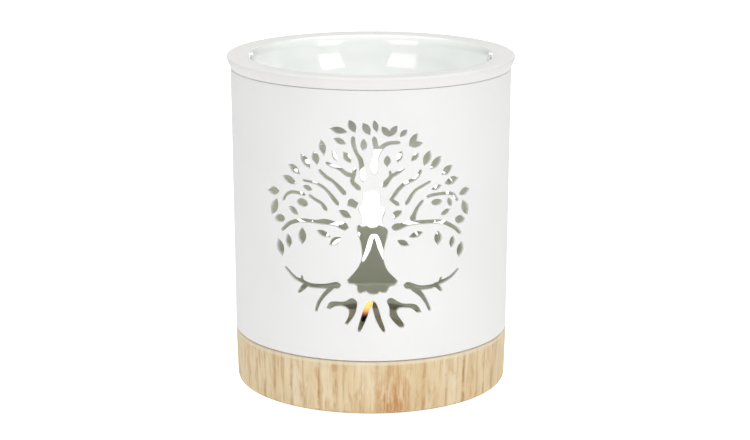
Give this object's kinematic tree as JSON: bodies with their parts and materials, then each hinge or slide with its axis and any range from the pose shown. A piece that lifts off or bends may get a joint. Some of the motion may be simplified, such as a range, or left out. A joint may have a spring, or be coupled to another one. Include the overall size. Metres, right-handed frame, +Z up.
{
  "type": "essential oil burner",
  "caption": "Round ceramic oil burner pierced with a tree of life, with a lift-off dish on top, a wood base and a tealight inside that warms the dish.",
  "frame": {"origin": "on the burner's axis, at the level of the surface that its pads stand on", "axes": "+Z up along the axis, -Y towards the pictured front, +X to the right in the picture"},
  "size_m": [0.108, 0.108, 0.126],
  "materials": {
    "satin_ceramic": "satin white",
    "glazed_ceramic": "gloss white glaze",
    "wood": "pale, vertical grain, satin",
    "felt": "felt",
    "aluminium_foil": "bright thin sheet",
    "wax": "white wax",
    "tinplate": "bright",
    "cotton_wick": "charred cotton"
  },
  "bodies": {
    "stand": {"wood_base": "wood", "pierced_body": "satin_ceramic", "felt_pad_1": "felt", "felt_pad_2": "felt", "felt_pad_3": "felt", "felt_pad_4": "felt"},
    "dish": {"oil_dish": "glazed_ceramic"},
    "tealight": {"tealight_cup": "aluminium_foil", "tealight_wax": "wax", "wick_sustainer": "tinplate", "wick": "cotton_wick"}
  },
  "joints": [
    {"name": "dish_lift", "type": "slide", "parent": "stand", "child": "dish", "axis": [0, 0, 1], "range_m": [0, 0.06]},
    {"name": "tealight_lift", "type": "slide", "parent": "stand", "child": "tealight", "axis": [0, 0, 1], "range_m": [0, 0.06]}
  ]
}
